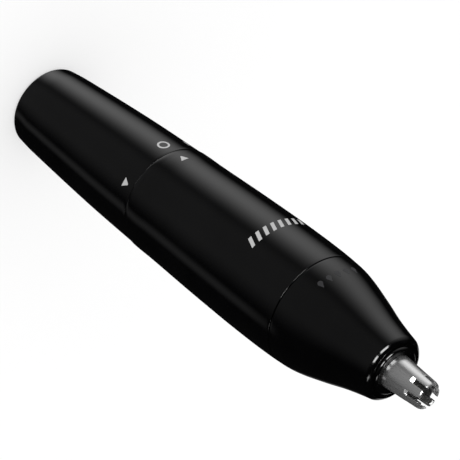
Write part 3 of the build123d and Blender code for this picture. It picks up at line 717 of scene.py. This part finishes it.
# ---- stage --------------------------------------------------------------------------------
def build_floor():
    """A large pale floor that glossy rays pass, so the black body stays deep."""
    bm = bmesh.new()
    bmesh.ops.create_grid(bm, x_segments=2, y_segments=2, size=FLOOR_HALF)
    floor = make_object("floor", bm)
    material, tree, shader = new_material("floor_paper")
    paper = tint(tree, noise(tree, 6), (0.44, 0.44, 0.44), (0.46, 0.46, 0.46))
    tree.links.new(paper, shader.inputs["Base Color"])
    shader.inputs["Emission Color"].default_value = (1, 1, 1, 1)
    shader.inputs["Emission Strength"].default_value = FLOOR_GLOW
    shader.inputs["Roughness"].default_value = FLOOR_ROUGH
    shader.inputs["Specular IOR Level"].default_value = 0.0
    floor.data.materials.append(material)
    floor.visible_glossy = False
    floor.visible_shadow = False


def build_dome():
    """A white light tent: it lights what scatters light, and gloss sees past it."""
    bm = bmesh.new()
    bmesh.ops.create_icosphere(bm, subdivisions=4, radius=DOME_R)
    dome = make_object("dome", bm)
    material = bpy.data.materials.new("dome_light")
    material.use_nodes = True
    tree = material.node_tree
    tree.nodes.clear()
    glow = node(tree, "ShaderNodeEmission", Strength=DOME_LIGHT)
    out = node(tree, "ShaderNodeOutputMaterial")
    tree.links.new(glow.outputs["Emission"], out.inputs["Surface"])
    dome.data.materials.append(material)
    dome.visible_glossy = False
    dome.visible_shadow = False


def maths(tree, operation, first, second=None):
    """One Math node; each operand is a socket or a plain number."""
    step = node(tree, "ShaderNodeMath", operation=operation)
    for socket, operand in zip(step.inputs, (first, second)):
        if isinstance(operand, bpy.types.NodeSocket):
            tree.links.new(operand, socket)
        elif operand is not None:
            socket.default_value = operand
    return step.outputs["Value"]


def window(tree, angle, start, end, soft):
    """1 between two angles in degrees and 0 outside them, with soft edges."""
    edges = []
    for outer, inner in ((start - soft / 2, start + soft / 2), (end + soft / 2, end - soft / 2)):
        edge = node(tree, "ShaderNodeMapRange", interpolation_type="SMOOTHSTEP")
        edge.inputs["From Min"].default_value = math.radians(outer)
        edge.inputs["From Max"].default_value = math.radians(inner)
        tree.links.new(angle, edge.inputs["Value"])
        edges.append(edge.outputs["Result"])
    return maths(tree, "MULTIPLY", *edges)


def build_world():
    """A dark studio with a few soft-edged softboxes, which only the gloss sees."""
    world = bpy.data.worlds.new("studio")
    world.use_nodes = True
    bpy.context.scene.world = world
    world.cycles_visibility.diffuse = False
    tree = world.node_tree
    split = node(tree, "ShaderNodeSeparateXYZ")
    tree.links.new(node(tree, "ShaderNodeTexCoord").outputs["Generated"], split.inputs["Vector"])
    azimuth = maths(tree, "ARCTAN2", split.outputs["Y"], split.outputs["X"])
    elevation = maths(tree, "ARCSINE", split.outputs["Z"])
    glow = STUDIO_DARK
    for box in SOFTBOXES:
        across = window(tree, azimuth, box.left, box.right, box.soft)
        along = window(tree, elevation, box.bottom, box.top, box.soft)
        lit = maths(tree, "MULTIPLY", maths(tree, "MULTIPLY", across, along), float(box.glow))
        glow = maths(tree, "ADD", lit, glow)
    background = tree.nodes["Background"]
    background.inputs["Color"].default_value = (1, 1, 1, 1)
    tree.links.new(glow, background.inputs["Strength"])


def build_camera():
    """A long lens over the front, rolled so that the tip points to the lower right."""
    a, e = math.radians(VIEW_AZIMUTH), math.radians(VIEW_ELEVATION)
    near = Vector((math.sin(a), -math.cos(a), 0))
    up_axis = Vector((0, 0, 1))
    out = near * math.cos(e) + up_axis * math.sin(e)
    along = (up_axis - out * math.sin(e)).normalized()
    across = up_axis.cross(near)
    roll = math.radians(VIEW_ROLL)
    right = along * math.cos(roll) - across * math.sin(roll)
    up = -along * math.sin(roll) - across * math.cos(roll)
    target = Vector((0, 0, AIM_HEIGHT)) + right * AIM_RIGHT + up * AIM_UP
    data = bpy.data.cameras.new("camera")
    data.lens = LENS
    data.sensor_width = SENSOR
    camera = bpy.data.objects.new("camera", data)
    place = Matrix((right, up, out)).transposed().to_4x4()
    place.translation = target + out * DISTANCE
    camera.matrix_world = place
    bpy.context.scene.collection.objects.link(camera)
    bpy.context.scene.camera = camera


# ---- assembly -----------------------------------------------------------------------------
materials = make_materials()
dress(materials)
for piece, slot in (
    (build_base(), "body_black"), (build_handle(), "body_black"), (build_head(), "body_black"),
    (build_nose(), "nose_black"), (build_guard(), "guard_steel"), (build_guard_flange(), "guard_steel"),
):
    piece.data.materials.append(materials[slot])
build_switch_marks(materials["ink_white"])
build_bars(materials["ink_white"])
build_drops(materials["ink_grey"])

build_floor()
build_dome()
build_world()
build_camera()
bpy.context.scene.view_settings.view_transform = "Standard"
